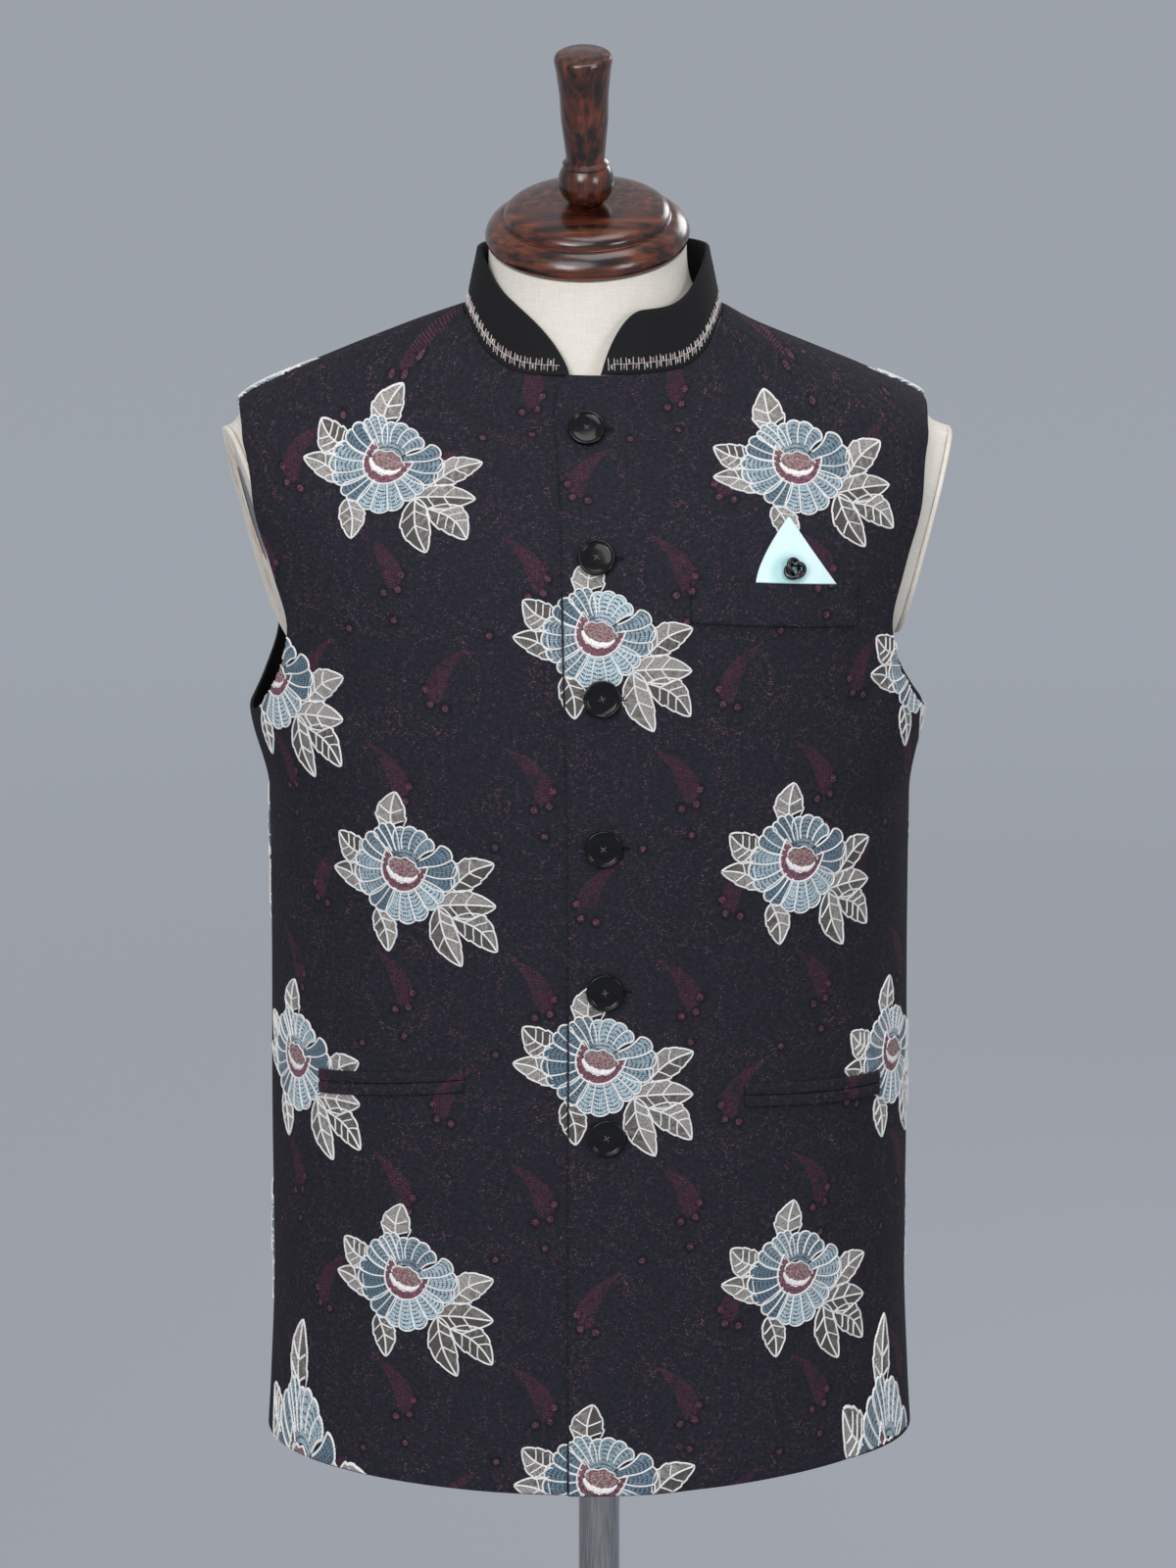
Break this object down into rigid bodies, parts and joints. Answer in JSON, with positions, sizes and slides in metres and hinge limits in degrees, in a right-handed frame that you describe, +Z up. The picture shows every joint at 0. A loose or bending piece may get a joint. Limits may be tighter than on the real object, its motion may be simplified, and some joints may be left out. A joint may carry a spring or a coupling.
{
  "type": "stand-collar waistcoat on a limbless dress form",
  "caption": "Buttoned stand-collar waistcoat of embroidered dark jacquard with welt and hip pockets, on a linen dress form with a turned cap, steel pole and round base.",
  "frame": {"origin": "centre of the round base's underside, on the pole's axis, at floor level", "axes": "+Z up along the pole; the front faces -Y; +X is the wearer's left. The dress form and the waistcoat hang 6 mm towards -X of the pole, as in the picture"},
  "size_m": [0.4354, 0.38, 1.5976],
  "materials": {
    "jacquard": "dark figured jacquard with satin-stitch embroidery",
    "black_cloth": "plain weave, matt",
    "satin": "pale aqua satin, soft sheen",
    "gunmetal": "polished dark plating",
    "black_horn": "gloss",
    "linen": "ivory linen stretched over the form",
    "dark_wood": "turned and varnished, gloss",
    "steel": "brushed",
    "painted_base": "smooth satin paint"
  },
  "bodies": {
    "root": {"front_left": "jacquard", "front_right": "jacquard", "back": "jacquard", "chest_welt": "jacquard", "hip_jet_left_upper": "jacquard", "hip_jet_left_lower": "jacquard", "hip_jet_right_upper": "jacquard", "hip_jet_right_lower": "jacquard", "collar": "black_cloth", "pocket_square": "satin", "knot_stud": "gunmetal", "button_1": "black_horn", "button_2": "black_horn", "button_3": "black_horn", "button_4": "black_horn", "button_5": "black_horn", "button_6": "black_horn", "form_torso": "linen", "arm_plate_left": "linen", "arm_plate_right": "linen", "neck_cap": "dark_wood", "finial": "dark_wood", "pole_socket": "steel", "stand_pole": "steel", "stand_base": "painted_base"}
  },
  "joints": []
}
